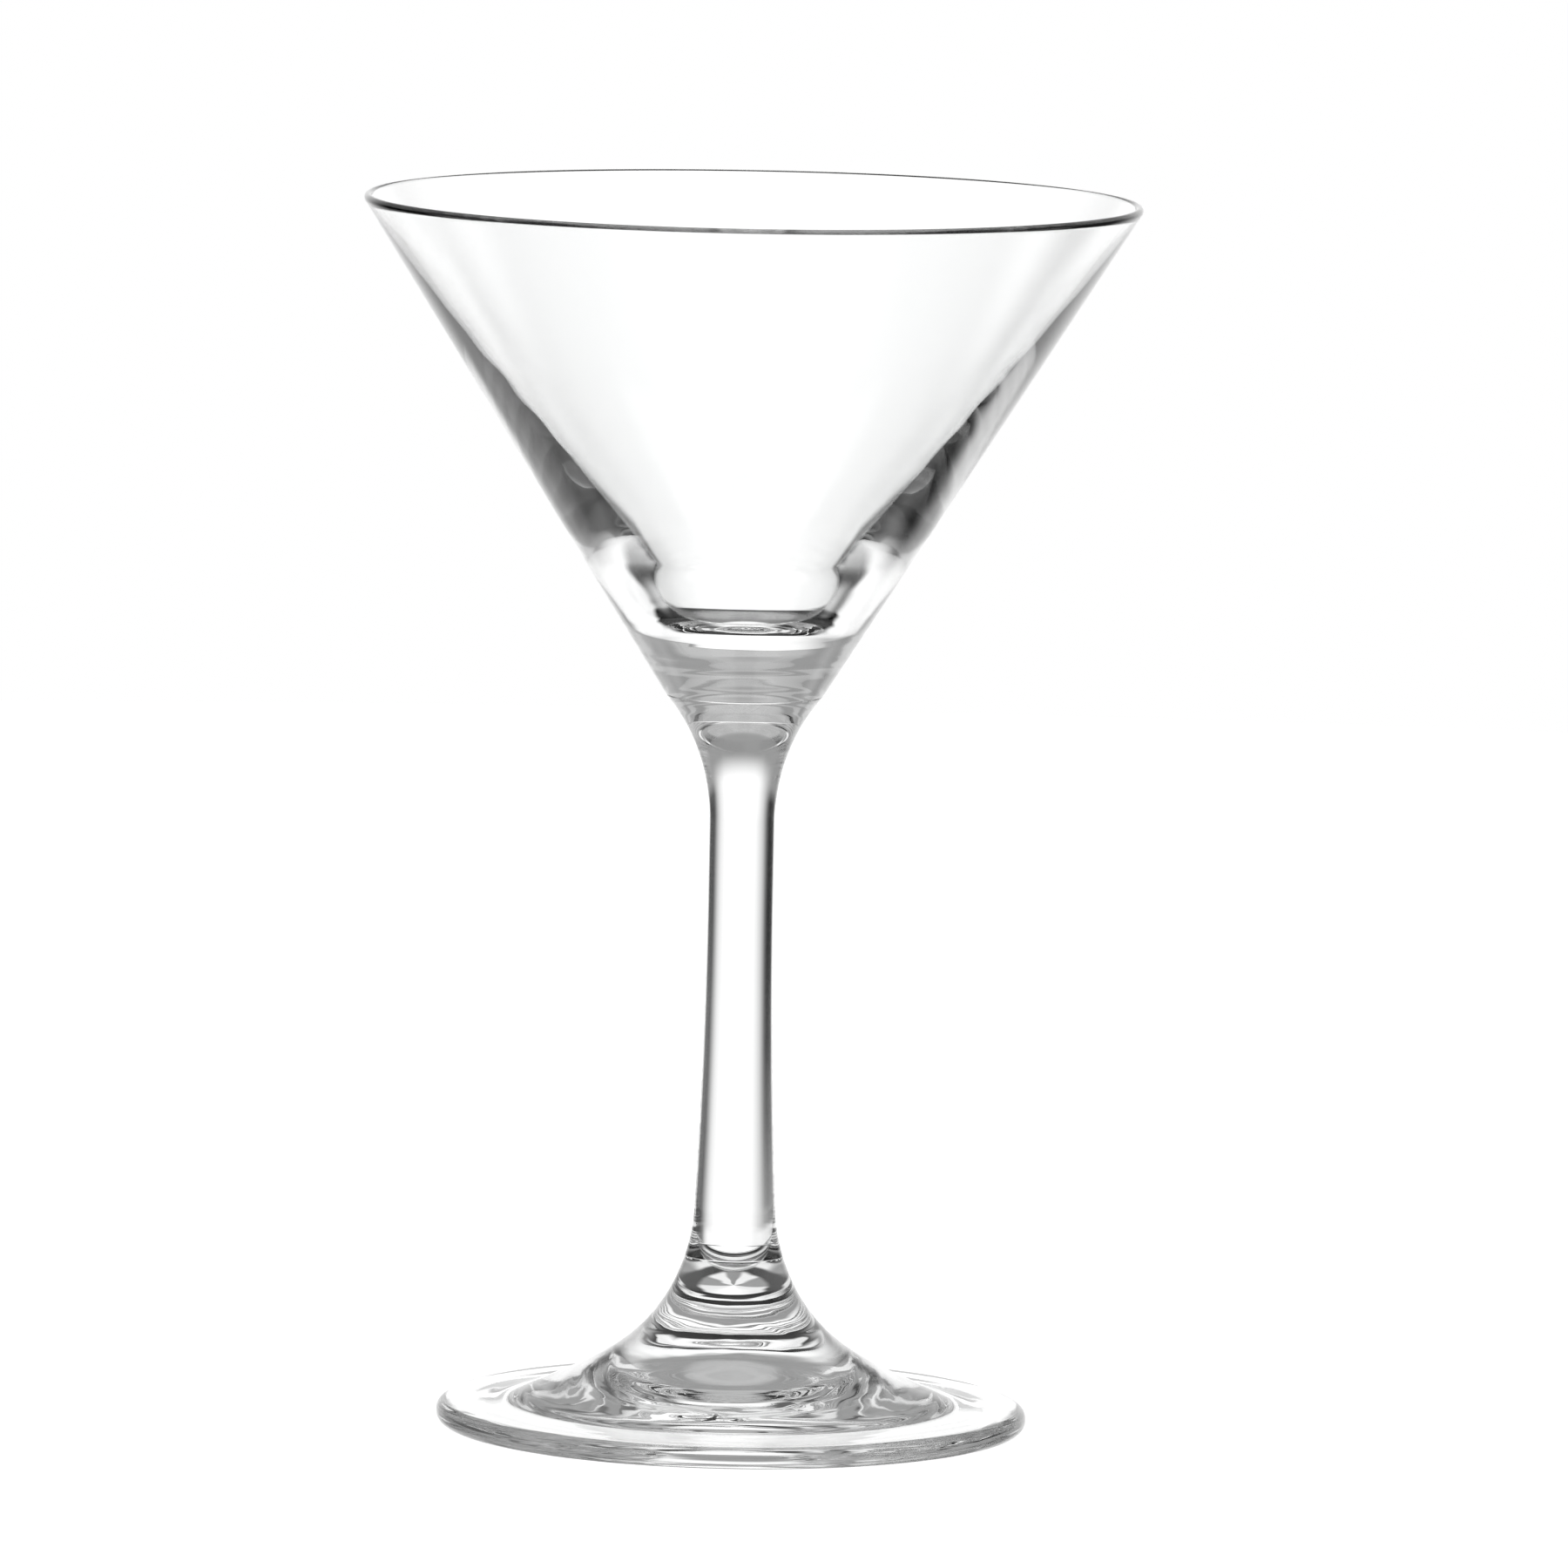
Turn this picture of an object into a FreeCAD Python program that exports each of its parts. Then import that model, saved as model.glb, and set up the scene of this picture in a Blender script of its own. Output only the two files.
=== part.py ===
"""A small stemmed cocktail (martini) glass, built from the three pieces of glass it is made of.

The bowl is a straight-sided cone whose wall thickens from a fire-polished rim down to a heavy solid base.
The stem is a drawn rod that flares at both ends. The foot is a pressed disc: a low cone that runs out into
a flat flange with a rounded edge, hollowed underneath so that the glass stands on a narrow ring.
The pieces are fused end to end. Each joint is a flat disc of glass, with a fine witness groove round it.

Units are millimetres. +Z is up the glass, and the origin is the middle of the foot, on the table.
"""

import FreeCAD
import Part
import math
import os

# Overall sizes
glass_height = 150.0
rim_diameter = 94.4
foot_diameter = 72.0

# Bowl
bowl_height = 60.4
bowl_joint_diameter = 19.1
rim_thickness = 1.1
wall_bow = 1.0  # how far the inside wall bows out from straight, between the rim and its toe
wall_at_toe = 6.55  # across the wall, where the inside starts to turn into the floor
toe_height = 8.4  # the toe's height above the inside floor
toe_reach = 5.5  # how far the inside's outline keeps the direction that it has at the toe
floor_reach = 3.5  # how far outside the flat floor it stays level
floor_diameter = 12.6  # the flat floor inside
base_thickness = 10.0  # solid glass between the stem joint and the inside floor

# Stem
waist_diameter = 8.0
waist_length = 8.4  # the straight part
upper_flare_radius = 23.6  # the flare under the bowl
taper_growth = 1.9  # how much wider the stem is where the taper ends
lower_flare_growth = 2.1  # and how much wider again where it meets the foot
lower_flare_length = 5.7

# Foot
foot_height = 20.8
hub_reach = 10.3  # how far the hub's outline keeps the direction that it has at the joint
cone_reach = 11.0  # how far the cone's outline keeps the slope that it has at the flange
cone_slope = 22.4  # at the flange, from the table
flange_width = 8.55
flange_thickness = 3.0
flange_fall = 0.25  # how much thinner the flange is at its edge
flange_blend = 1.0  # how far the corner between cone and flange is rounded, each way
edge_top_radius = 1.3
edge_foot_radius = 1.2
ring_width = 2.0  # the flat ring that the glass stands on
outer_step_radius = 24.0  # the hollow underneath rises in three soft steps, each level where it ends
outer_step_height = 1.0
inner_step_radius = 12.0
inner_step_height = 3.5
hollow_height = 5.0  # at the axis

# Fused joints
groove_depth = 0.12

rim_radius = rim_diameter / 2
foot_radius = foot_diameter / 2
waist_radius = waist_diameter / 2
bowl_joint_radius = bowl_joint_diameter / 2
bowl_joint_level = glass_height - bowl_height

TURN = 360.0
AXIS_POINT = FreeCAD.Vector(0, 0, 0)
AXIS = FreeCAD.Vector(0, 0, 1)


def at(radius, height):
    """The point at that radius and height, in the XZ plane."""
    return FreeCAD.Vector(radius, 0, height)


def down_at(lean):
    """The direction down and outwards, at that angle from the axis."""
    return at(math.sin(lean), -math.cos(lean))


def line(start, end):
    """A straight edge of a profile."""
    return Part.LineSegment(start, end).toShape()


def arc(start, middle, end):
    """A round edge of a profile, through a point between its ends."""
    return Part.Arc(start, middle, end).toShape()


def bend(*poles):
    """A smooth edge of a profile, drawn from the first pole to the last and towards the ones between."""
    curve = Part.BezierCurve()
    curve.setPoles(list(poles))
    return curve.toShape()


def step_up(start, end):
    """A smooth edge of a profile that is level at both ends."""
    third = (end.x - start.x) / 3
    return bend(start, at(start.x + third, start.z), at(end.x - third, end.z), end)


def turned(edges):
    """The solid that a closed profile sweeps round the glass's axis."""
    face = Part.Face(Part.Wire(edges))
    return face.revolve(AXIS_POINT, AXIS, TURN)


# The stem's outline from the waist down: a long taper, then a short curve that flares out to the foot joint.
upper_flare_angle = math.acos(1 - (bowl_joint_radius - waist_radius) / upper_flare_radius)
waist_top = at(waist_radius, bowl_joint_level - upper_flare_radius * math.sin(upper_flare_angle))
waist_end = waist_top - at(0, waist_length)
taper_end = at(waist_radius + taper_growth / 2, foot_height + lower_flare_length)
taper_corner = at(waist_radius, (waist_end.z + taper_end.z) / 2)
taper_lean = math.atan2(taper_end.x - taper_corner.x, taper_corner.z - taper_end.z)
foot_joint_radius = taper_end.x + lower_flare_growth / 2
flare_chord_lean = math.atan2(lower_flare_growth / 2, lower_flare_length)
foot_joint_lean = 2 * flare_chord_lean - taper_lean


def bowl():
    """The cone: solid base, thickening wall, rounded rim."""
    lip_radius = rim_thickness / 2
    lip_centre = at(rim_radius - lip_radius, glass_height - lip_radius)
    joint = at(bowl_joint_radius, bowl_joint_level)
    to_lip = lip_centre - joint
    tilt = math.atan2(to_lip.x, to_lip.z) + math.asin(lip_radius / to_lip.Length)
    up_wall = at(math.sin(tilt), math.cos(tilt))
    into_wall = at(-math.cos(tilt), math.sin(tilt))
    lip_outside = lip_centre - into_wall * lip_radius
    lip_inside = lip_centre + into_wall * lip_radius
    lip_top = lip_centre + up_wall * lip_radius

    # The inside wall is a slight bow from the rim down to its toe, which runs out into the floor.
    floor_edge = at(floor_diameter / 2, joint.z + base_thickness)
    toe_rise = base_thickness + toe_height
    toe = joint + up_wall * (toe_rise / up_wall.z) - at(wall_at_toe, 0)
    chord = (lip_inside - toe).normalize()
    bow_point = (lip_inside + toe) * 0.5 + at(chord.z, -chord.x) * (2 * wall_bow)
    down_wall = (toe - bow_point).normalize()
    toe_pole = toe + down_wall * toe_reach
    floor_pole = floor_edge + at(floor_reach, 0)

    groove_foot = joint - at(groove_depth, 0)
    groove_top = joint + up_wall * groove_depth
    return turned(
        [
            line(at(0, joint.z), groove_foot),
            line(groove_foot, groove_top),
            line(groove_top, lip_outside),
            arc(lip_outside, lip_top, lip_inside),
            bend(lip_inside, bow_point, toe),
            bend(toe, toe_pole, floor_pole, floor_edge),
            line(floor_edge, at(0, floor_edge.z)),
            line(at(0, floor_edge.z), at(0, joint.z)),
        ]
    )


def stem():
    """The rod: flared under the bowl, narrowest at the waist, tapering out and flaring to the foot."""

    def upper_flare(angle):
        out = upper_flare_radius * (1 - math.cos(angle))
        return waist_top + at(out, upper_flare_radius * math.sin(angle))

    shoulder_rise = bowl_joint_level - groove_depth - waist_top.z
    shoulder_angle = math.asin(shoulder_rise / upper_flare_radius)
    groove_top = at(bowl_joint_radius - groove_depth, bowl_joint_level)

    # The lower flare leaves the taper along its lean and reaches the foot joint along the joint's.
    joint = at(foot_joint_radius, foot_height)
    ankle = joint - down_at(foot_joint_lean) * groove_depth
    half_chord = (ankle - taper_end).Length / 2
    flare_reach = half_chord / math.cos(flare_chord_lean - taper_lean)
    flare_corner = taper_end + down_at(taper_lean) * flare_reach
    groove_foot = joint - at(groove_depth, 0)
    return turned(
        [
            line(at(0, foot_height), groove_foot),
            line(groove_foot, ankle),
            bend(ankle, flare_corner, taper_end),
            bend(taper_end, taper_corner, waist_end),
            line(waist_end, waist_top),
            arc(waist_top, upper_flare(shoulder_angle / 2), upper_flare(shoulder_angle)),
            line(upper_flare(shoulder_angle), groove_top),
            line(groove_top, at(0, bowl_joint_level)),
            line(at(0, bowl_joint_level), at(0, foot_height)),
        ]
    )


def foot():
    """The disc: flared hub, low cone, flat flange with a rounded edge, and a hollow underside."""
    joint = at(foot_joint_radius, foot_height)
    groove_top = joint - at(groove_depth, 0)
    groove_foot = joint + down_at(foot_joint_lean) * groove_depth

    # The hub runs out into the cone in one curve, and the cone's foot is rounded into the flange.
    down_cone = down_at(math.pi / 2 - math.radians(cone_slope))
    edge_level = flange_thickness - flange_fall
    flange_end = at(foot_radius - edge_top_radius, edge_level)
    flange_corner = at(foot_radius - flange_width, flange_thickness)
    along_flange = (flange_end - flange_corner).normalize()
    cone_end = flange_corner - down_cone * flange_blend
    flange_start = flange_corner + along_flange * flange_blend
    hub_pole = groove_foot + down_at(foot_joint_lean) * hub_reach
    cone_pole = cone_end - down_cone * cone_reach

    # The edge is a quarter round above and one below, with a narrow upright land between them.
    land_top = at(foot_radius, edge_level - edge_top_radius)
    land_foot = at(foot_radius, edge_foot_radius)
    corner_gap = 1 - math.sqrt(0.5)
    top_middle = at(foot_radius - edge_top_radius * corner_gap, edge_level - edge_top_radius * corner_gap)
    foot_middle = at(foot_radius - edge_foot_radius * corner_gap, edge_foot_radius * corner_gap)

    ring_outside = at(foot_radius - edge_foot_radius, 0)
    ring_inside = ring_outside - at(ring_width, 0)
    outer_step = at(outer_step_radius, outer_step_height)
    inner_step = at(inner_step_radius, inner_step_height)
    hollow_top = at(0, hollow_height)
    return turned(
        [
            line(at(0, foot_height), groove_top),
            line(groove_top, groove_foot),
            bend(groove_foot, hub_pole, cone_pole, cone_end),
            bend(cone_end, flange_corner, flange_start),
            line(flange_start, flange_end),
            arc(flange_end, top_middle, land_top),
            line(land_top, land_foot),
            arc(land_foot, foot_middle, ring_outside),
            line(ring_outside, ring_inside),
            step_up(ring_inside, outer_step),
            step_up(outer_step, inner_step),
            step_up(inner_step, hollow_top),
            line(hollow_top, at(0, foot_height)),
        ]
    )


os.makedirs("parts", exist_ok=True)
for name, make in (("bowl", bowl), ("stem", stem), ("foot", foot)):
    piece = make()
    piece.exportStep(f"parts/{name}.step")
    box = piece.optimalBoundingBox(False, False)
    print(f"{name}: {piece.Volume / 1000:.2f} ml of glass, {box.XLength:.2f} mm across,", end=" ")
    print(f"z {box.ZMin:.2f} to {box.ZMax:.2f}, valid {piece.isValid()}")
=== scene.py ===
"""The looks of a clear martini glass: bowl, stem and foot, each a closed skin of worked glass.

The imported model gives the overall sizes. Each piece is turned from its outline, with the small waves that
blowing, drawing and pressing leave in it. The pieces are fused, so the faces where they join are clear, and
light crosses them as it does in one body of glass. Lengths are in metres and angles in radians, unless a
name says otherwise.
"""

import logging
import math
from dataclasses import dataclass, field, replace
from enum import Enum
from typing import Any, Union

import bmesh
import bpy
from mathutils import Matrix, Vector


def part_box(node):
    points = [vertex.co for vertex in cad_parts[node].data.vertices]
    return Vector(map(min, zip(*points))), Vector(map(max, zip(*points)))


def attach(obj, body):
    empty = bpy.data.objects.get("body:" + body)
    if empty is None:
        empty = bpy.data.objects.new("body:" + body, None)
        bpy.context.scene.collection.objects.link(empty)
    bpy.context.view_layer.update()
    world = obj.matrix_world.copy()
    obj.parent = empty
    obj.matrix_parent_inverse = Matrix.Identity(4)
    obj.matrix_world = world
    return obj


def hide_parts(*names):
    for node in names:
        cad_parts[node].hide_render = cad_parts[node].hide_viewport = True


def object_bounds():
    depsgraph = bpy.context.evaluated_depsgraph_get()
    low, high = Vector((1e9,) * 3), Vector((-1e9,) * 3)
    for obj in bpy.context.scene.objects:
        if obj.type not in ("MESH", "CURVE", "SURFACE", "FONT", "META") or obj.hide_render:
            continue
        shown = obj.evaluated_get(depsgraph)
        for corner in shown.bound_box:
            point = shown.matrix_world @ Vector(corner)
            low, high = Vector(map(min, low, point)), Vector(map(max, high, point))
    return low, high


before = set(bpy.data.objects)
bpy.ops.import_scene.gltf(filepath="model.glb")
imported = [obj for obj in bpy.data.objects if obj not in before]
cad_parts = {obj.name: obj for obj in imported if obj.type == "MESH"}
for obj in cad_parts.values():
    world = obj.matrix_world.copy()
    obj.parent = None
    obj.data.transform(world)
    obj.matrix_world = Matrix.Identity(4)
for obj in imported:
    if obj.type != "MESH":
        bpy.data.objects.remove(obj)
CAD_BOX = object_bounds()

MM = 0.001
MICRON = 0.001 * MM
TURN = 2 * math.pi
RIGHT_ANGLE = math.pi / 2
BODY = "root"

# The joint between bowl and stem, and the witness groove round each joint.
BOWL_JOINT_RADIUS = 9.55 * MM
GROOVE_DEPTH = 0.12 * MM

# A Mix node has inputs for several types. These are the numbers of the ones for colours.
COLOUR_A = 6
COLOUR_B = 7
COLOUR_RESULT = 2

log = logging.getLogger("martini_glass")

Triple = tuple[float, float, float]
Colour = tuple[float, float, float, float]
Row = list[Triple]
Value = Union["Socket", float]

WHITE: Colour = (1.0, 1.0, 1.0, 1.0)


# ------------------------------------------------------------------------------------- shader graphs


class Socket:
    """A value in a shader. An expression on it adds the Math nodes that work it out."""

    def __init__(self, graph: "Graph", end: bpy.types.NodeSocket) -> None:
        """Wraps a node's output.

        Args:
            graph: The graph that the node is in.
            end: The output.
        """
        self.graph = graph
        self.end = end

    def __add__(self, other: Value) -> "Socket":
        """The sum."""
        return self.graph.maths("ADD", self, other)

    def __sub__(self, other: Value) -> "Socket":
        """The difference."""
        return self.graph.maths("SUBTRACT", self, other)

    def __rsub__(self, other: Value) -> "Socket":
        """The difference from a number."""
        return self.graph.maths("SUBTRACT", other, self)

    def __mul__(self, other: Value) -> "Socket":
        """The product."""
        return self.graph.maths("MULTIPLY", self, other)

    def __abs__(self) -> "Socket":
        """The value without its sign."""
        return self.graph.maths("ABSOLUTE", self)

    __radd__ = __add__
    __rmul__ = __mul__


class Graph:
    """The nodes of one material or world."""

    def __init__(self, tree: bpy.types.NodeTree) -> None:
        """Starts an empty graph.

        Args:
            tree: The node tree to fill.
        """
        self.tree = tree
        tree.nodes.clear()

    def node(
        self, kind: str, settings: dict[str, Any] | None = None, sockets: dict[Any, Any] | None = None
    ) -> bpy.types.Node:
        """Adds a node.

        Args:
            kind: The node's type.
            settings: The node's own settings, which are set first.
            sockets: What its inputs take, by name or number: a value, or a Socket to link.

        Returns:
            The node.
        """
        made = self.tree.nodes.new(kind)
        for name, setting in (settings or {}).items():
            setattr(made, name, setting)
        for name, value in (sockets or {}).items():
            if isinstance(value, Socket):
                self.tree.links.new(value.end, made.inputs[name])
            else:
                made.inputs[name].default_value = value
        return made

    def pick(self, made: bpy.types.Node, name: str | int = 0) -> Socket:
        """A node's output, by name or number."""
        return Socket(self, made.outputs[name])

    def maths(self, operation: str, *values: Value) -> Socket:
        """Adds a Math node.

        Args:
            operation: What the node works out.
            values: Its inputs, in order.

        Returns:
            The result.
        """
        return self.pick(self.node("ShaderNodeMath", {"operation": operation}, dict(enumerate(values))))

    def ease(self, value: Socket, start: float, end: float) -> Socket:
        """Goes smoothly from 0 to 1 as value goes from start to end."""
        limits = {"Value": value, "From Min": start, "From Max": end}
        return self.pick(self.node("ShaderNodeMapRange", {"interpolation_type": "SMOOTHSTEP"}, limits))

    def noise(self, per_metre: Triple, detail: float = 2.0) -> Socket:
        """Soft random variation over a piece, about 0.5.

        Args:
            per_metre: How many features there are in a metre, along each axis.
            detail: How many finer layers are added.

        Returns:
            The variation.
        """
        place = self.pick(self.node("ShaderNodeTexCoord"), "Object")
        scaled = self.node("ShaderNodeMapping", None, {"Vector": place, "Scale": per_metre})
        sockets = {"Vector": self.pick(scaled), "Scale": 1.0, "Detail": detail}
        return self.pick(self.node("ShaderNodeTexNoise", None, sockets), 0)

    def tint(self, share: Socket, first: Colour, second: Colour) -> Socket:
        """Mixes two colours, from first to second as share goes from 0 to 1."""
        stops = {0: share, COLOUR_A: first, COLOUR_B: second}
        return self.pick(self.node("ShaderNodeMix", {"data_type": "RGBA"}, stops), COLOUR_RESULT)


# ------------------------------------------------------------------------------------------ finishes


class Working(Enum):
    """How a piece of glass was worked, with the marks per metre that this leaves along X, Y and Z."""

    BLOWN = (45.0, 45.0, 30.0)
    DRAWN = (420.0, 420.0, 22.0)
    PRESSED = (260.0, 260.0, 420.0)


@dataclass(frozen=True)
class Finish:
    """What a surface is made of."""

    name: str

    def sockets(self, graph: Graph) -> dict[str, Any]:
        """What the shader's inputs take: values, or results of nodes in the graph."""
        raise NotImplementedError

    def make(self) -> bpy.types.Material:
        """Makes the material.

        Returns:
            The material, with one Principled shader.
        """
        made = bpy.data.materials.new(self.name)
        made.use_nodes = True
        graph = Graph(made.node_tree)
        shader = graph.node("ShaderNodeBsdfPrincipled", None, self.sockets(graph))
        graph.node("ShaderNodeOutputMaterial", None, {"Surface": graph.pick(shader)})
        return made


@dataclass(frozen=True)
class GlassFinish(Finish):
    """Clear glass with the marks of how it was worked, and a trace of handling on it.

    The body of the glass varies slightly in tint. Hands leave a haze where fine noise is over a threshold.
    """

    working: Working
    mark_depth: float
    index: float = 1.52
    clear: Colour = WHITE
    faint: Colour = (0.982, 0.990, 0.988, 1.0)
    tints_per_metre: Triple = (35.0, 35.0, 18.0)
    tint_detail: float = 1.0
    haze: float = 0.012
    touches_per_metre: Triple = (95.0, 95.0, 70.0)
    touch_detail: float = 4.0
    touch_limits: tuple[float, float] = (0.56, 0.72)

    def sockets(self, graph: Graph) -> dict[str, Any]:
        """Works out the marks, the tint and the haze.

        Args:
            graph: The material's graph.

        Returns:
            What the shader's inputs take.
        """
        marks = {"Strength": 1.0, "Distance": self.mark_depth, "Height": graph.noise(self.working.value)}
        bump = graph.node("ShaderNodeBump", None, marks)
        body = graph.noise(self.tints_per_metre, self.tint_detail)
        touched = graph.noise(self.touches_per_metre, self.touch_detail)
        return {
            "Base Color": graph.tint(body, self.clear, self.faint),
            "Roughness": graph.ease(touched, *self.touch_limits) * self.haze,
            "Normal": graph.pick(bump),
            "IOR": self.index,
            "Transmission Weight": 1.0,
        }


@dataclass(frozen=True)
class FusedJoint(Finish):
    """The face where two pieces are melted together. Nothing is left of it, so light goes straight on."""

    def sockets(self, graph: Graph) -> dict[str, Any]:
        """What makes it clear."""
        return {"Alpha": 0.0, "Roughness": 0.0}


@dataclass(frozen=True)
class Tabletop(Finish):
    """Plain white paper, lit evenly from below as well as from above."""

    name: str = "white_tabletop"
    glow: float = 0.9
    paper: Colour = (0.8, 0.8, 0.8, 1.0)

    def sockets(self, graph: Graph) -> dict[str, Any]:
        """What makes it matt, with an even glow."""
        return {
            "Base Color": self.paper,
            "Roughness": 1.0,
            "Specular IOR Level": 0.0,
            "Emission Color": WHITE,
            "Emission Strength": self.glow,
        }


# ------------------------------------------------------------------------------- outlines and turning


@dataclass(frozen=True)
class RingWave:
    """Waves that run round a piece, one above another, and wander up and down a little."""

    depth: float
    pitch: float
    sway: float = 0.0
    sways: int = 2
    phase: float = 0.0

    def lift(self, along: float, bearing: float) -> float:
        """How far the wave lifts the surface.

        Args:
            along: How far along the outline.
            bearing: The angle round the axis.

        Returns:
            The lift.
        """
        wander = self.sway * math.sin(self.sways * bearing + self.phase)
        return self.depth * math.sin(TURN * (along + wander) / self.pitch + self.phase)


@dataclass(frozen=True)
class StreakWave:
    """Waves that run along a piece, side by side, with a slight twist."""

    depth: float
    streaks: int
    twist: float = 0.0
    phase: float = 0.0

    def lift(self, along: float, bearing: float) -> float:
        """How far the wave lifts the surface.

        Args:
            along: How far along the outline.
            bearing: The angle round the axis.

        Returns:
            The lift.
        """
        return self.depth * math.sin(self.streaks * bearing + self.twist * along + self.phase)


Wave = Union[RingWave, StreakWave]


def at(radius: float, height: float) -> Vector:
    """A point of an outline."""
    return Vector((radius, height))


def down_at(lean: float) -> Vector:
    """The direction down and outwards, at that angle from the axis."""
    return at(math.sin(lean), -math.cos(lean))


@dataclass
class Run:
    """One stretch of an outline."""

    points: list[Vector]
    waves: tuple[Wave, ...] = ()
    joint: bool = False

    def lift(self, share: float, along: float, bearing: float) -> float:
        """How far the waves lift the surface, fading to nothing at both ends of the run."""
        fade = math.sin(math.pi * share) ** 2
        return fade * sum(wave.lift(along, bearing) for wave in self.waves)


@dataclass
class Outline:
    """Half of a turned piece's section, drawn with a pen from the axis, round the glass, to the axis."""

    pen: Vector
    spacing: float = 0.4 * MM
    fewest_steps: int = 8
    runs: list[Run] = field(default_factory=list)

    def steps(self, length: float) -> int:
        """How many steps a smooth run of that length takes."""
        return max(self.fewest_steps, math.ceil(length / self.spacing))

    def add(self, points: list[Vector], waves: tuple[Wave, ...] = (), joint: bool = False) -> None:
        """Adds a run of points and moves the pen to its end."""
        self.runs.append(Run(points, waves, joint))
        self.pen = points[-1]

    def line(self, end: Vector, waves: tuple[Wave, ...] = ()) -> None:
        """Draws a straight run of glass."""
        steps = self.steps((end - self.pen).length)
        self.add([self.pen.lerp(end, step / steps) for step in range(steps + 1)], waves)

    def edge(self, end: Vector, joint: bool = False) -> None:
        """Draws a straight run with nothing between its ends."""
        self.add([self.pen, end], joint=joint)

    def arc(self, centre: Vector, sweep: float, waves: tuple[Wave, ...] = ()) -> None:
        """Draws a round run.

        Args:
            centre: The middle of its circle.
            sweep: The angle to go round, anticlockwise when positive.
            waves: The waves in the glass there.
        """
        spoke = self.pen - centre
        steps = self.steps(abs(sweep) * spoke.length)
        turns = [Matrix.Rotation(sweep * step / steps, 2) for step in range(steps + 1)]
        self.add([centre + turn @ spoke for turn in turns], waves)

    def bend(self, *poles: Vector, waves: tuple[Wave, ...] = ()) -> None:
        """Draws a smooth run.

        Args:
            poles: The points that it is drawn towards in turn. It ends at the last.
            waves: The waves in the glass there.
        """
        poles = (self.pen, *poles)
        steps = self.steps(sum((end - start).length for start, end in zip(poles, poles[1:])))
        points = []
        for step in range(steps + 1):
            level = list(poles)
            while len(level) > 1:
                level = [start.lerp(end, step / steps) for start, end in zip(level, level[1:])]
            points.append(level[0])
        self.add(points, waves)

    def step_up(self, end: Vector, waves: tuple[Wave, ...] = ()) -> None:
        """Draws a smooth run that is level at both ends."""
        third = (end.x - self.pen.x) / 3
        self.bend(at(self.pen.x + third, self.pen.y), at(end.x - third, end.y), end, waves=waves)


@dataclass(frozen=True)
class Lathe:
    """Turns an outline into a closed mesh."""

    segments: int = 256
    sharp_from: float = math.radians(25.0)
    on_axis: float = 0.001 * MM

    def rows(self, outline: Outline) -> tuple[list[Row], list[bool]]:
        """Works out the mesh's rows of corners.

        Args:
            outline: The outline.

        Returns:
            A row for each point, with one corner on the axis or one for each segment, and for each step
            between rows whether it is a joint.
        """
        rows: list[Row] = []
        joints: list[bool] = []
        for run in outline.runs:
            last = len(run.points) - 1
            along = 0.0
            for index, point in enumerate(run.points):
                if index:
                    along += (point - run.points[index - 1]).length
                if rows and index == 0:
                    continue
                if rows:
                    joints.append(run.joint)
                if point.x < self.on_axis:
                    rows.append([(0.0, 0.0, point.y)])
                    continue
                ahead = run.points[min(index + 1, last)] - run.points[max(index - 1, 0)]
                outward = at(ahead.y, -ahead.x).normalized()
                row = []
                for segment in range(self.segments):
                    bearing = TURN * segment / self.segments
                    lifted = point + outward * run.lift(index / last, along, bearing)
                    row.append((lifted.x * math.cos(bearing), lifted.x * math.sin(bearing), lifted.y))
                rows.append(row)
        return rows, joints

    def faces(self, rows: list[Row], joints: list[bool]) -> tuple[list[tuple[int, ...]], list[int]]:
        """Joins rows of corners into faces.

        Args:
            rows: The rows of corners.
            joints: Which steps between rows are joints.

        Returns:
            The faces' corners, and each face's material number: 0 for glass and 1 for a joint.
        """
        starts = [sum(len(row) for row in rows[:index]) for index in range(len(rows))]
        corners = []
        kinds = []
        for index, joint in enumerate(joints):
            lower, upper = starts[index], starts[index + 1]
            for segment in range(self.segments):
                after = (segment + 1) % self.segments
                if len(rows[index]) == 1:
                    face = (lower, upper + after, upper + segment)
                elif len(rows[index + 1]) == 1:
                    face = (lower + segment, lower + after, upper)
                else:
                    face = (lower + segment, lower + after, upper + after, upper + segment)
                corners.append(face)
                kinds.append(int(joint))
        return corners, kinds

    def turn(self, name: str, outline: Outline) -> bpy.types.Object:
        """Turns an outline into an object in the scene, smooth but for its sharp corners.

        Args:
            name: The object's name.
            outline: The outline, drawn from the axis to the axis.

        Returns:
            The object.
        """
        rows, joints = self.rows(outline)
        corners, kinds = self.faces(rows, joints)
        mesh = bpy.data.meshes.new(name)
        mesh.from_pydata([corner for row in rows for corner in row], [], corners)
        mesh.polygons.foreach_set("material_index", kinds)
        mesh.polygons.foreach_set("use_smooth", [True] * len(corners))
        shape = bmesh.new()
        shape.from_mesh(mesh)
        bmesh.ops.recalc_face_normals(shape, faces=shape.faces)
        for seam in shape.edges:
            seam.smooth = seam.calc_face_angle(0.0) < self.sharp_from
        shape.to_mesh(mesh)
        shape.free()
        made = bpy.data.objects.new(name, mesh)
        bpy.context.scene.collection.objects.link(made)
        return made


# -------------------------------------------------------------------------------------------- pieces


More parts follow.
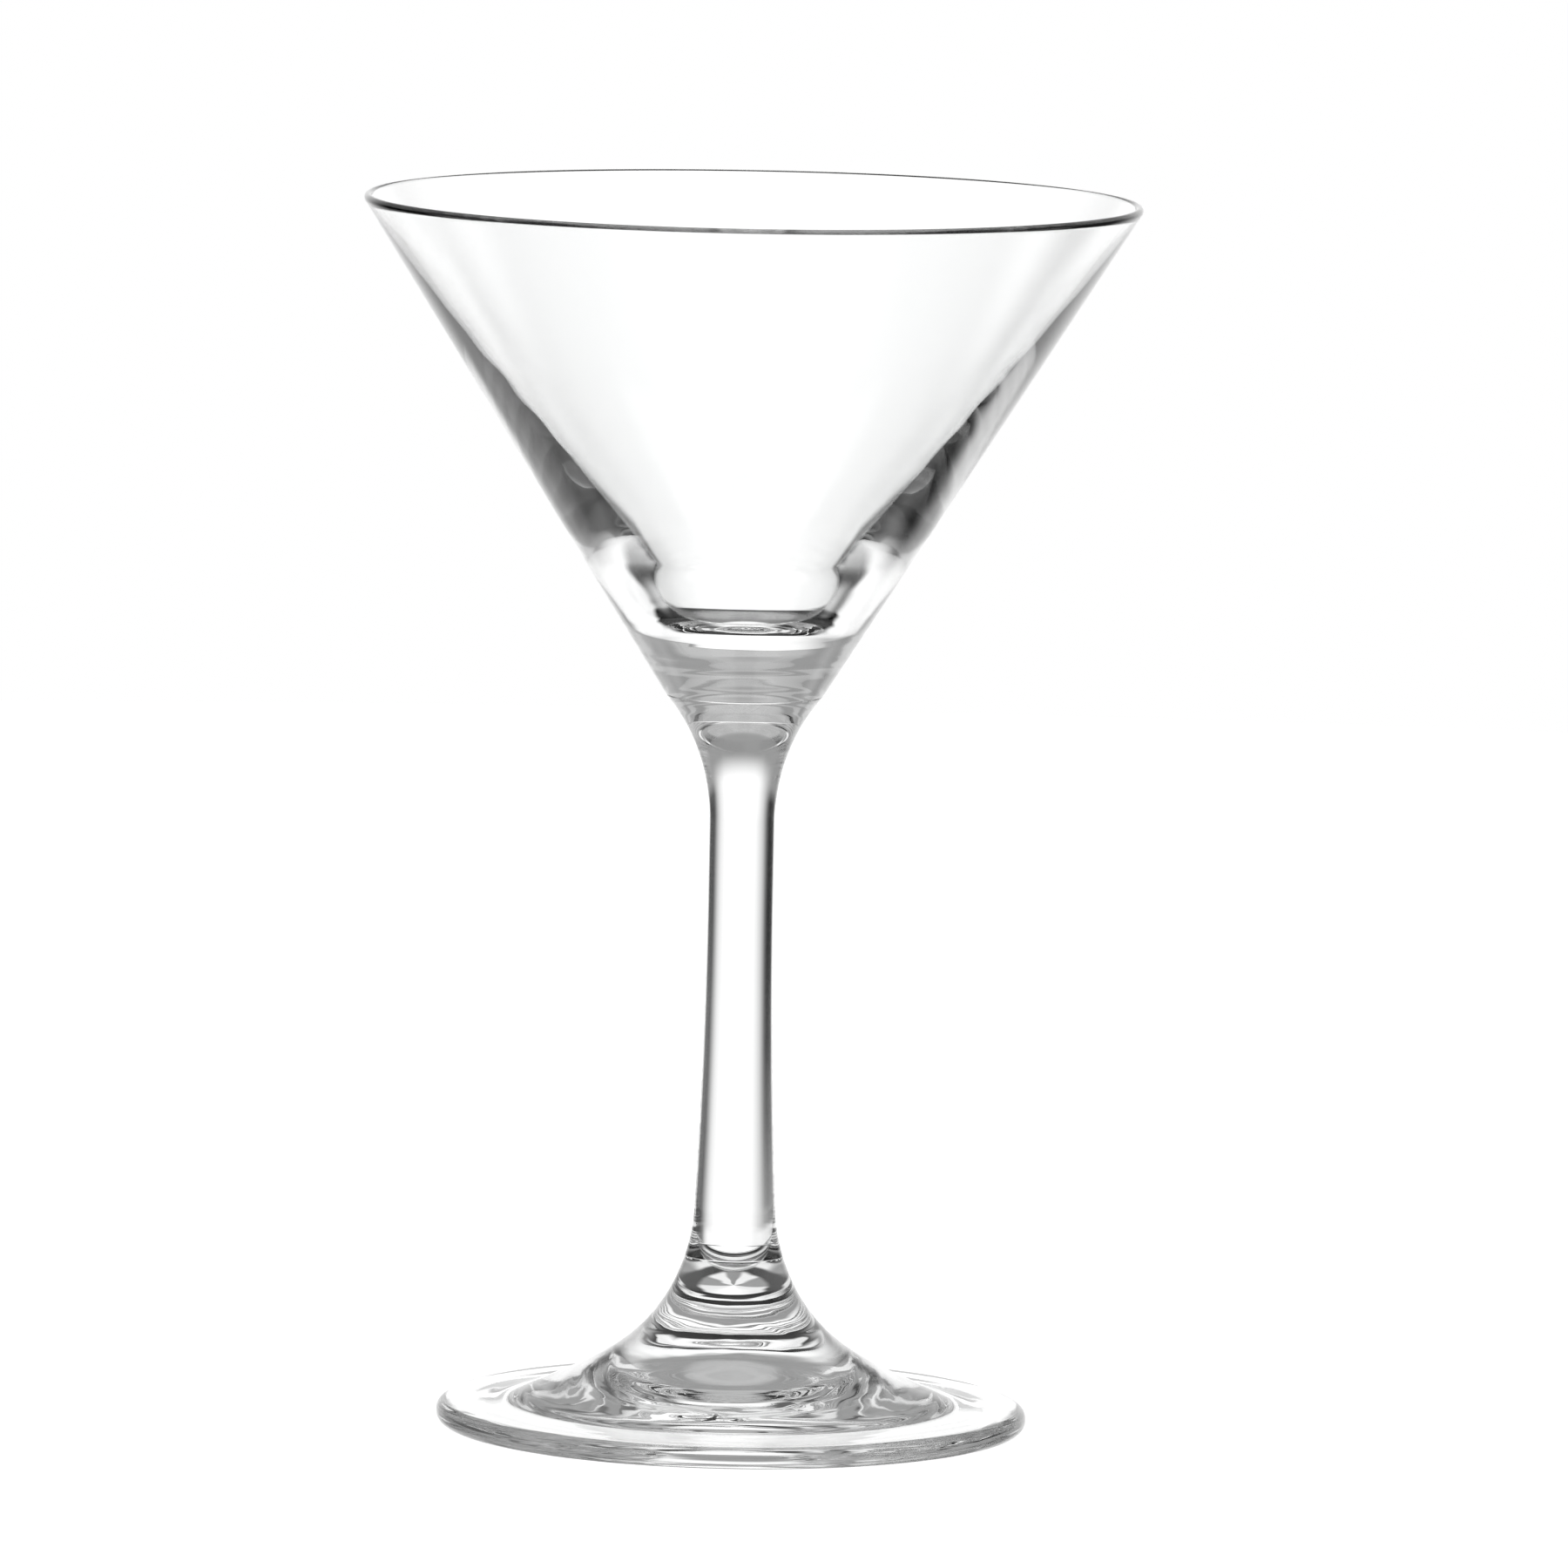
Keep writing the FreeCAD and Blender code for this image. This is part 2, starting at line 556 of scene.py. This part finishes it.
@dataclass
class Piece:
    """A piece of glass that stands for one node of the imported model."""

    node: str
    finish: GlassFinish

    @property
    def low(self) -> float:
        """The height of its lowest point."""
        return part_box(self.node)[0].z

    @property
    def high(self) -> float:
        """The height of its highest point."""
        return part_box(self.node)[1].z

    @property
    def reach(self) -> float:
        """Its largest radius."""
        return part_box(self.node)[1].x

    def outline(self) -> Outline:
        """The outline that the piece is turned from."""
        raise NotImplementedError

    def build(self, lathe: Lathe) -> bpy.types.Object:
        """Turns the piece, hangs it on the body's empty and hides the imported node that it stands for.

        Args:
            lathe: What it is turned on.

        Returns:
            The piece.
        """
        made = lathe.turn(f"{self.node}_glass", self.outline())
        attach(made, BODY)
        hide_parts(self.node)
        return made

    def dress(self, made: bpy.types.Object) -> None:
        """Gives the piece its glass, and its clear joints.

        Args:
            made: The piece.
        """
        made.data.materials.append(self.finish.make())
        made.data.materials.append(FusedJoint(f"{self.node}_joint").make())
        log.info("%s: %d faces, %s", made.name, len(made.data.polygons), self.finish.name)


@dataclass
class Bowl(Piece):
    """The cone: solid base, thickening wall, rounded rim."""

    joint_radius: float = BOWL_JOINT_RADIUS
    rim_thickness: float = 1.1 * MM
    wall_bow: float = 1.0 * MM
    wall_at_toe: float = 6.55 * MM
    toe_height: float = 8.4 * MM
    toe_reach: float = 5.5 * MM
    floor_reach: float = 3.5 * MM
    floor_radius: float = 6.3 * MM
    base_thickness: float = 10.0 * MM
    groove_depth: float = GROOVE_DEPTH
    base_rise: float = 15.0 * MM
    base_waves: tuple[Wave, ...] = (
        RingWave(0.022 * MM, 2.6 * MM, sway=0.35 * MM, sways=2, phase=0.6),
        RingWave(0.008 * MM, 1.5 * MM, sway=0.30 * MM, sways=3, phase=2.4),
    )
    outside_waves: tuple[Wave, ...] = (
        StreakWave(0.004 * MM, 7, twist=18.0, phase=0.4),
        RingWave(0.0012 * MM, 9.0 * MM, sway=2.5 * MM, sways=3, phase=1.1),
    )
    inside_waves: tuple[Wave, ...] = (
        StreakWave(0.008 * MM, 5, twist=-25.0, phase=2.0),
        RingWave(0.0015 * MM, 6.5 * MM, sway=2.0 * MM, sways=2, phase=0.3),
    )

    def outline(self) -> Outline:
        """Draws the base, the outside, the rim, the inside wall and the floor.

        Returns:
            The outline.
        """
        lip_radius = self.rim_thickness / 2
        lip_centre = at(self.reach - lip_radius, self.high - lip_radius)
        joint = at(self.joint_radius, self.low)
        to_lip = lip_centre - joint
        tilt = math.atan2(to_lip.x, to_lip.y) + math.asin(lip_radius / to_lip.length)
        up_wall = at(math.sin(tilt), math.cos(tilt))
        into_wall = at(-math.cos(tilt), math.sin(tilt))
        lip_inside = lip_centre + into_wall * lip_radius

        # The inside wall is a slight bow from the rim down to its toe, which runs out into the floor.
        floor_edge = at(self.floor_radius, joint.y + self.base_thickness)
        toe_rise = self.base_thickness + self.toe_height
        toe = joint + up_wall * (toe_rise / up_wall.y) - at(self.wall_at_toe, 0)
        chord = (lip_inside - toe).normalized()
        bow_point = (lip_inside + toe) / 2 + at(chord.y, -chord.x) * (2 * self.wall_bow)
        down_wall = (toe - bow_point).normalized()

        outline = Outline(at(0, joint.y))
        outline.edge(joint - at(self.groove_depth, 0), joint=True)
        outline.edge(joint + up_wall * self.groove_depth)
        outline.line(joint + up_wall * self.base_rise, self.base_waves)
        outline.line(lip_centre - into_wall * lip_radius, self.outside_waves)
        outline.arc(lip_centre, math.pi)
        outline.bend(bow_point, toe, waves=self.inside_waves)
        outline.bend(toe + down_wall * self.toe_reach, floor_edge + at(self.floor_reach, 0), floor_edge)
        outline.line(at(0, floor_edge.y))
        return outline


@dataclass
class Stem(Piece):
    """The rod: flared under the bowl, narrowest at the waist, tapering out and flaring to the foot."""

    top_radius: float = BOWL_JOINT_RADIUS
    waist_radius: float = 4.0 * MM
    waist_length: float = 8.4 * MM
    upper_flare_radius: float = 23.6 * MM
    taper_growth: float = 1.9 * MM
    lower_flare_growth: float = 2.1 * MM
    lower_flare_length: float = 5.7 * MM
    groove_depth: float = GROOVE_DEPTH
    waves: tuple[Wave, ...] = (
        StreakWave(0.006 * MM, 5, twist=12.0, phase=0.7),
        RingWave(0.006 * MM, 11.0 * MM, sway=3.0 * MM, sways=1, phase=0.2),
    )

    @property
    def taper_end(self) -> Vector:
        """Where the taper ends and the lower flare starts."""
        return at(self.waist_radius + self.taper_growth / 2, self.low + self.lower_flare_length)

    @property
    def flare_angle(self) -> float:
        """How far the upper flare turns."""
        return math.acos(1 - (self.top_radius - self.waist_radius) / self.upper_flare_radius)

    @property
    def waist_top(self) -> Vector:
        """Where the upper flare starts."""
        return at(self.waist_radius, self.high - self.upper_flare_radius * math.sin(self.flare_angle))

    @property
    def taper_corner(self) -> Vector:
        """The point that the taper bends towards."""
        waist_end = self.waist_top.y - self.waist_length
        return at(self.waist_radius, (waist_end + self.taper_end.y) / 2)

    @property
    def taper_lean(self) -> float:
        """The taper's lean where it ends."""
        fall = self.taper_corner - self.taper_end
        return math.atan2(-fall.x, fall.y)

    @property
    def chord_lean(self) -> float:
        """The lean of the lower flare from end to end."""
        return math.atan2(self.lower_flare_growth / 2, self.lower_flare_length)

    @property
    def foot_joint(self) -> Vector:
        """The edge of the joint with the foot."""
        return at(self.taper_end.x + self.lower_flare_growth / 2, self.low)

    @property
    def foot_joint_lean(self) -> float:
        """The outline's lean where it meets the foot."""
        return 2 * self.chord_lean - self.taper_lean

    def outline(self) -> Outline:
        """Draws the joint with the foot, the taper, the waist, the flare and the joint with the bowl.

        Returns:
            The outline.
        """
        ankle = self.foot_joint - down_at(self.foot_joint_lean) * self.groove_depth
        half_chord = (ankle - self.taper_end).length / 2
        flare_reach = half_chord / math.cos(self.chord_lean - self.taper_lean)
        flare_corner = self.taper_end + down_at(self.taper_lean) * flare_reach
        shoulder_rise = self.high - self.groove_depth - self.waist_top.y
        shoulder_angle = math.asin(shoulder_rise / self.upper_flare_radius)

        outline = Outline(at(0, self.low))
        outline.edge(self.foot_joint - at(self.groove_depth, 0), joint=True)
        outline.edge(ankle)
        outline.bend(flare_corner, self.taper_end)
        outline.bend(self.taper_corner, self.waist_top - at(0, self.waist_length), waves=self.waves)
        outline.line(self.waist_top)
        outline.arc(self.waist_top + at(self.upper_flare_radius, 0), -shoulder_angle)
        outline.edge(at(self.top_radius - self.groove_depth, self.high))
        outline.edge(at(0, self.high), joint=True)
        return outline


@dataclass
class Foot(Piece):
    """The disc: flared hub, low cone, flat flange with a rounded edge, and a hollow underside."""

    stem: Stem
    hub_reach: float = 10.3 * MM
    cone_reach: float = 11.0 * MM
    cone_slope: float = math.radians(22.4)
    flange_width: float = 8.55 * MM
    flange_thickness: float = 3.0 * MM
    flange_fall: float = 0.25 * MM
    flange_blend: float = 1.0 * MM
    edge_top_radius: float = 1.3 * MM
    edge_foot_radius: float = 1.2 * MM
    ring_width: float = 2.0 * MM
    outer_step: Vector = field(default_factory=lambda: at(24.0 * MM, 1.0 * MM))
    inner_step: Vector = field(default_factory=lambda: at(12.0 * MM, 3.5 * MM))
    hollow_height: float = 5.0 * MM
    groove_depth: float = GROOVE_DEPTH
    hub_waves: tuple[Wave, ...] = (
        RingWave(0.010 * MM, 2.3 * MM, sway=0.7 * MM, sways=3, phase=0.5),
        RingWave(0.004 * MM, 1.4 * MM, sway=0.9 * MM, sways=5, phase=1.9),
        StreakWave(0.012 * MM, 4, twist=60.0, phase=0.9),
    )
    flange_waves: tuple[Wave, ...] = (RingWave(0.008 * MM, 2.2 * MM, sway=0.6 * MM, sways=7, phase=0.8),)
    edge_waves: tuple[Wave, ...] = (RingWave(0.008 * MM, 0.9 * MM, sway=0.4 * MM, sways=9, phase=0.8),)
    under_waves: tuple[Wave, ...] = (
        RingWave(0.008 * MM, 4.1 * MM, sway=1.4 * MM, sways=3, phase=2.2),
        StreakWave(0.010 * MM, 5, twist=90.0, phase=0.1),
    )

    def outline(self) -> Outline:
        """Draws the joint, the hub and cone, the flange, its edge, the ring and the hollow.

        Returns:
            The outline.
        """
        joint = self.stem.foot_joint
        lean = self.stem.foot_joint_lean
        hub_start = joint + down_at(lean) * self.groove_depth

        # The hub runs out into the cone in one curve, and the cone's foot is rounded into the flange.
        down_cone = down_at(RIGHT_ANGLE - self.cone_slope)
        edge_level = self.flange_thickness - self.flange_fall
        flange_end = at(self.reach - self.edge_top_radius, edge_level)
        flange_corner = at(self.reach - self.flange_width, self.flange_thickness)
        along_flange = (flange_end - flange_corner).normalized()
        cone_end = flange_corner - down_cone * self.flange_blend
        hub_pole = hub_start + down_at(lean) * self.hub_reach
        cone_pole = cone_end - down_cone * self.cone_reach
        ring_outside = at(self.reach - self.edge_foot_radius, self.low)

        outline = Outline(at(0, self.high))
        outline.edge(joint - at(self.groove_depth, 0), joint=True)
        outline.edge(hub_start)
        outline.bend(hub_pole, cone_pole, cone_end, waves=self.hub_waves)
        outline.bend(flange_corner, flange_corner + along_flange * self.flange_blend)
        outline.line(flange_end, self.flange_waves)
        outline.arc(at(flange_end.x, edge_level - self.edge_top_radius), -RIGHT_ANGLE, self.edge_waves)
        outline.line(at(self.reach, self.edge_foot_radius))
        outline.arc(at(ring_outside.x, self.edge_foot_radius), -RIGHT_ANGLE, self.edge_waves)
        outline.edge(ring_outside - at(self.ring_width, 0))
        outline.step_up(self.outer_step, self.under_waves)
        outline.step_up(self.inner_step, self.under_waves)
        outline.step_up(at(0, self.hollow_height))
        return outline


# ---------------------------------------------------------------------------------- studio and camera


@dataclass(frozen=True)
class Panel:
    """A soft-edged area of the studio round the glass, brighter or darker than the rest.

    Angles are in degrees. Bearings are from the far side of the glass, positive to the right.
    """

    light: float
    rise: tuple[float, float]
    fall: tuple[float, float]
    bearing: float | None = None
    spread: tuple[float, float] = (0.0, 0.0)

    def both(self) -> tuple["Panel", "Panel"]:
        """The panel, and its mirror image on the other side of the glass."""
        return self, replace(self, bearing=-self.bearing)

    def share(self, graph: Graph, bearing: Socket, height: Socket) -> Socket:
        """How much of the panel a direction sees, from 0 to 1.

        Args:
            graph: The world's graph.
            bearing: The direction's bearing.
            height: Its angle above the horizon.

        Returns:
            The share.
        """
        start, full = map(math.radians, self.rise)
        last, end = map(math.radians, self.fall)
        share = graph.ease(height, start, full) * (1.0 - graph.ease(height, last, end))
        if self.bearing is None:
            return share
        aside = abs(graph.maths("WRAP", bearing - math.radians(self.bearing), math.pi, -math.pi))
        inner, outer = map(math.radians, self.spread)
        return share * (1.0 - graph.ease(aside, inner, outer))


# The rise of a panel that reaches all the way down.
FROM_BELOW = (-100.0, -95.0)


@dataclass
class Studio:
    """A white studio: a bright sweep behind and under the glass, with dark flags beside the camera.

    The flags draw the dark lines in the walls, the dark rings below draw the lines of the rim, and the side
    strips keep the glass clear from the side. Each panel is laid over the ones named before it.
    """

    ambient: float = 0.32
    overhead: Panel = Panel(0.5, (38, 50), (88, 95))
    flags: Panel = Panel(0.0, (-10, -4), (28, 40), 180, (60, 85))
    gap_in_flags: Panel = Panel(0.5, (-10, -4), (28, 40), -166, (6, 20))
    left_flag: Panel = Panel(0.0, (-14, -9), (0, 10), -52, (10, 30))
    side_ground: Panel = Panel(0.35, FROM_BELOW, (0, 10), 90, (8, 22))
    near_ground: Panel = Panel(0.95, FROM_BELOW, (-12, -7), 135, (15, 30))
    far_ground: Panel = Panel(0.9, FROM_BELOW, (-24, -18), 45, (15, 30))
    right_flag: Panel = Panel(0.1, (-40, -32), (4, 12), 55, (12, 26))
    camera_ground: Panel = Panel(0.95, (-50, -42), (-14, -8), 180, (24, 44))
    sweep: Panel = Panel(1.17, FROM_BELOW, (6, 22), 3, (14, 46))
    dark_ring: Panel = Panel(0.08, (-66, -60), (-48, -40))
    far_ring: Panel = Panel(0.0, (-66, -60), (-37, -31), 0, (30, 60))
    side_strip: Panel = Panel(0.95, (-24, -16), (0, 6), 90, (10, 24))
    backdrop: float = 1.0
    floor_radius: float = 0.8
    floor_sides: int = 128
    floor_gap: float = 0.05 * MM
    bounces: int = 28

    def panels(self) -> tuple[Panel, ...]:
        """The panels, each laid over the ones before it."""
        return (
            self.overhead,
            self.flags,
            self.gap_in_flags,
            self.left_flag,
            *self.side_ground.both(),
            *self.near_ground.both(),
            *self.far_ground.both(),
            self.right_flag,
            self.camera_ground,
            self.sweep,
            self.dark_ring,
            self.far_ring,
            *self.side_strip.both(),
        )

    def light(self) -> None:
        """Lights the scene from all round."""
        world = bpy.data.worlds.new("studio")
        world.use_nodes = True
        bpy.context.scene.world = world
        graph = Graph(world.node_tree)
        towards = graph.pick(graph.node("ShaderNodeTexCoord"), "Generated")
        parts = graph.node("ShaderNodeSeparateXYZ", None, {0: towards})
        across, away, up = (graph.pick(parts, index) for index in range(3))
        bearing = graph.maths("ARCTAN2", across, away)
        height = graph.maths("ARCSINE", up)
        total: Value = self.ambient
        for panel in self.panels():
            share = panel.share(graph, bearing, height)
            total = total * (1.0 - share) + share * panel.light
        plain = graph.pick(graph.node("ShaderNodeLightPath"), "Is Camera Ray")
        total = total * (1.0 - plain) + plain * self.backdrop
        grey = graph.node("ShaderNodeCombineXYZ", None, {0: total, 1: total, 2: total})
        background = graph.node("ShaderNodeBackground", None, {"Color": graph.pick(grey)})
        graph.node("ShaderNodeOutputWorld", None, {"Surface": graph.pick(background)})

    def floor(self) -> None:
        """Lays the tabletop just under the glass."""
        mesh = bpy.data.meshes.new("tabletop")
        shape = bmesh.new()
        bmesh.ops.create_circle(shape, cap_ends=True, segments=self.floor_sides, radius=self.floor_radius)
        shape.to_mesh(mesh)
        shape.free()
        mesh.materials.append(Tabletop().make())
        floor = bpy.data.objects.new("tabletop", mesh)
        floor.location.z = CAD_BOX[0][2] - self.floor_gap
        # The glass sees the studio's bright lower half where it looks down, so the table can be plain.
        floor.visible_transmission = False
        floor.visible_glossy = False
        bpy.context.scene.collection.objects.link(floor)

    def settle(self) -> None:
        """Lets light go through all of the glass, and shows its values as they are."""
        scene = bpy.context.scene
        scene.cycles.max_bounces = self.bounces
        scene.cycles.transmission_bounces = self.bounces
        scene.cycles.glossy_bounces = self.bounces
        scene.cycles.transparent_max_bounces = self.bounces
        scene.view_settings.view_transform = "Standard"


@dataclass(frozen=True)
class Camera:
    """A long lens a little above the rim, looking slightly down at the middle of the glass."""

    distance: float = 1.8854
    eye_height: float = 0.29485
    aim_height: float = 0.07878
    aim_aside: float = 0.005
    roll: float = math.radians(1.114)
    lens_mm: float = 358.53
    sensor_mm: float = 36.0
    far: float = 100.0

    def place(self) -> None:
        """Puts the camera in the scene."""
        data = bpy.data.cameras.new("camera")
        data.lens = self.lens_mm
        data.sensor_width = self.sensor_mm
        data.clip_end = self.far
        camera = bpy.data.objects.new("camera", data)
        eye = Vector((0, -self.distance, self.eye_height))
        aim = Vector((self.aim_aside, 0, self.aim_height))
        facing = (aim - eye).to_track_quat("-Z", "Y").to_matrix().to_4x4()
        camera.matrix_world = Matrix.Translation(eye) @ facing @ Matrix.Rotation(self.roll, 4, "Z")
        bpy.context.scene.collection.objects.link(camera)
        bpy.context.scene.camera = camera


def main() -> None:
    """Makes the camera, the studio and the three pieces of glass."""
    logging.basicConfig(level=logging.INFO, format="%(message)s")
    Camera().place()
    studio = Studio()
    studio.light()
    studio.floor()
    studio.settle()
    lathe = Lathe()
    stem = Stem("stem", GlassFinish("drawn_glass", Working.DRAWN, 0.4 * MICRON))
    bowl = Bowl("bowl", GlassFinish("blown_glass", Working.BLOWN, 3.0 * MICRON))
    foot = Foot("foot", GlassFinish("pressed_glass", Working.PRESSED, 1.0 * MICRON), stem)
    for piece in (bowl, stem, foot):
        piece.dress(piece.build(lathe))


if __name__ == "__main__":
    main()
